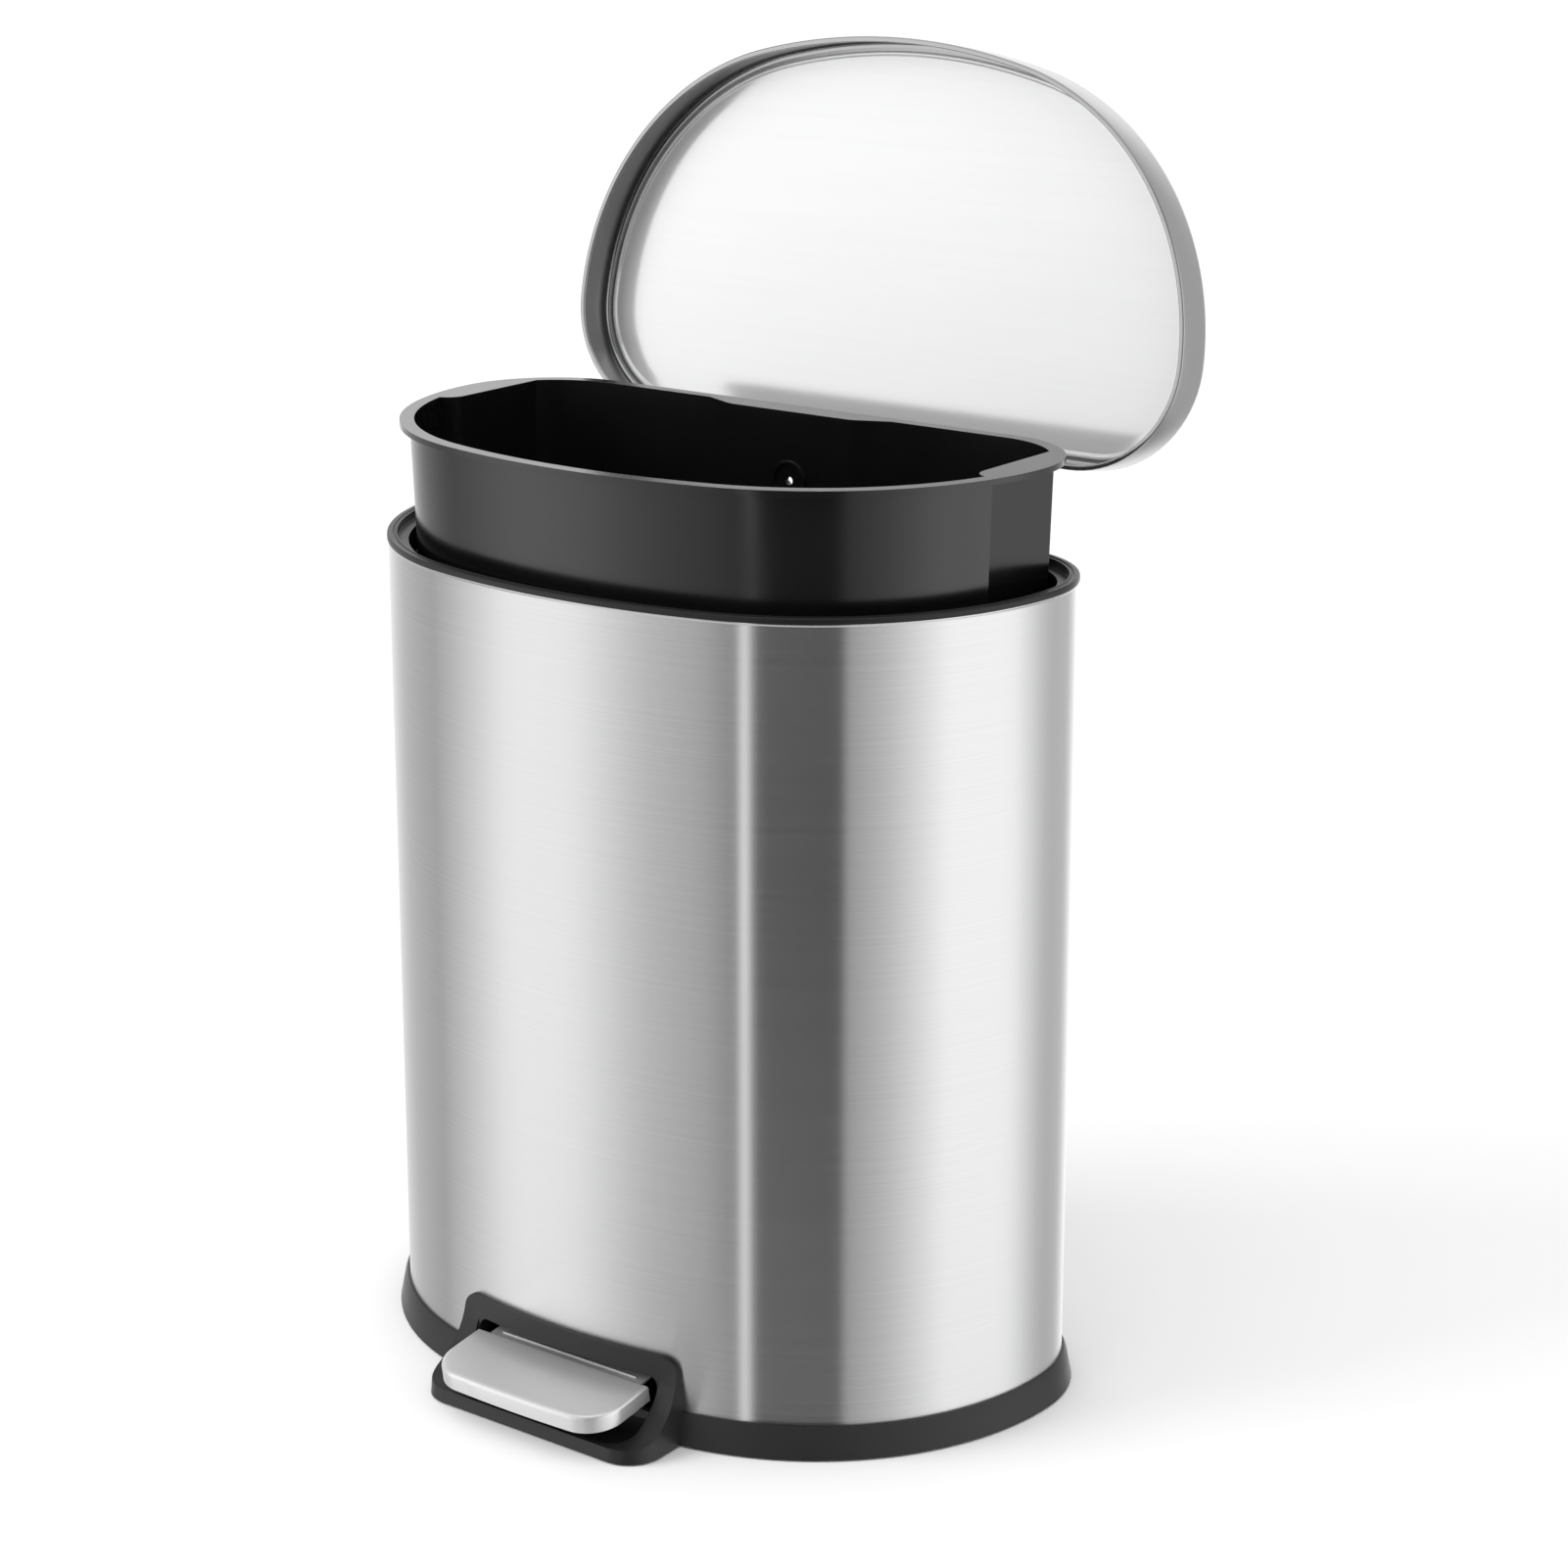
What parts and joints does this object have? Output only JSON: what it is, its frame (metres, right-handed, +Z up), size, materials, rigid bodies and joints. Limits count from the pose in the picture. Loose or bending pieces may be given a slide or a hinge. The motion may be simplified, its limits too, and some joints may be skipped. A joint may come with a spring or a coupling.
{
  "type": "pedal trash can",
  "caption": "Semi-round steel bin with a pedal-opened hinged lid, soft-close damper and a lift-out inner bucket.",
  "frame": {"origin": "on the floor, on the mid-plane, under the widest line of the shell", "axes": "+Z up; the pedal faces -Y and the flat back with the hinge faces +Y; +X to the right, seen from the pedal"},
  "size_m": [0.4112, 0.3636, 0.701],
  "materials": {
    "steel_shell": "satin, vertical reflections, fine horizontal brushing",
    "steel_lid": "satin",
    "bright_panel": "bright polished steel",
    "black_trim": "fine matt moulded plastic",
    "base_plastic": "matt moulded plastic",
    "bucket_plastic": "satin moulded plastic",
    "foot_rubber": "matt",
    "pad_metal": "satin",
    "bracket_steel": "zinc plated",
    "bolt_steel": "zinc plated",
    "damper_body": "semi-gloss",
    "core_plastic": "moulded plastic"
  },
  "bodies": {
    "can": {"outer_shell": "steel_shell", "top_trim_ring": "black_trim", "base_ring": "base_plastic", "base_plate": "black_trim", "rubber_foot": "foot_rubber", "base_screws": "bolt_steel", "pedal_bracket": "bracket_steel", "bracket_rivets": "bolt_steel", "pedal_axle": "bolt_steel", "axle_clips": "bolt_steel", "pedal_stop": "foot_rubber", "rod_guides": "core_plastic", "guide_screws": "bolt_steel", "rod_cover": "black_trim", "cover_screws": "bolt_steel", "hinge_housing": "black_trim", "housing_cap": "black_trim", "hinge_pins": "bolt_steel", "reinforcement_plate": "bracket_steel", "housing_screws": "bolt_steel", "damper_cylinder": "damper_body", "damper_clamp": "core_plastic"},
    "lid": {"lid_shell": "steel_lid", "lid_inner_panel": "bright_panel", "lid_hinge_arm": "bracket_steel", "lid_rivets": "bolt_steel", "crank_pin": "bolt_steel"},
    "pedal": {"pedal_lever": "bracket_steel", "pedal_pad_cover": "pad_metal", "pedal_pad_core": "core_plastic", "pad_screws": "bolt_steel"},
    "lift_rod": {"lift_rod": "bolt_steel", "rod_eye": "core_plastic", "rod_head": "core_plastic", "rod_pin": "bolt_steel", "damper_piston": "bolt_steel"},
    "bucket": {"inner_bucket": "bucket_plastic"}
  },
  "joints": [
    {"name": "lid_hinge", "type": "hinge", "parent": "can", "child": "lid", "pos_m": [0, 0.097, 0.449], "axis": [-1, 0, 0], "range_deg": [-99.4, 0]},
    {"name": "pedal_pivot", "type": "hinge", "parent": "can", "child": "pedal", "pos_m": [0, -0.13, 0.0215], "axis": [1, 0, 0], "range_deg": [-5.27, 0]},
    {"name": "rod_slide", "type": "slide", "parent": "can", "child": "lift_rod", "axis": [0, 0, 1], "range_m": [-0.01985, 0]},
    {"name": "bucket_lift", "type": "slide", "parent": "can", "child": "bucket", "axis": [0, 0, 1], "range_m": [-0.06222, 0]}
  ],
  "couplings": [
    {"joint": "pedal_pivot", "follows": "lid_hinge", "ratio": 0.052806},
    {"joint": "rod_slide", "follows": "lid_hinge", "m_per_rad": 0.01143},
    {"joint": "bucket_lift", "follows": "lid_hinge", "m_per_rad": 0.035853}
  ]
}
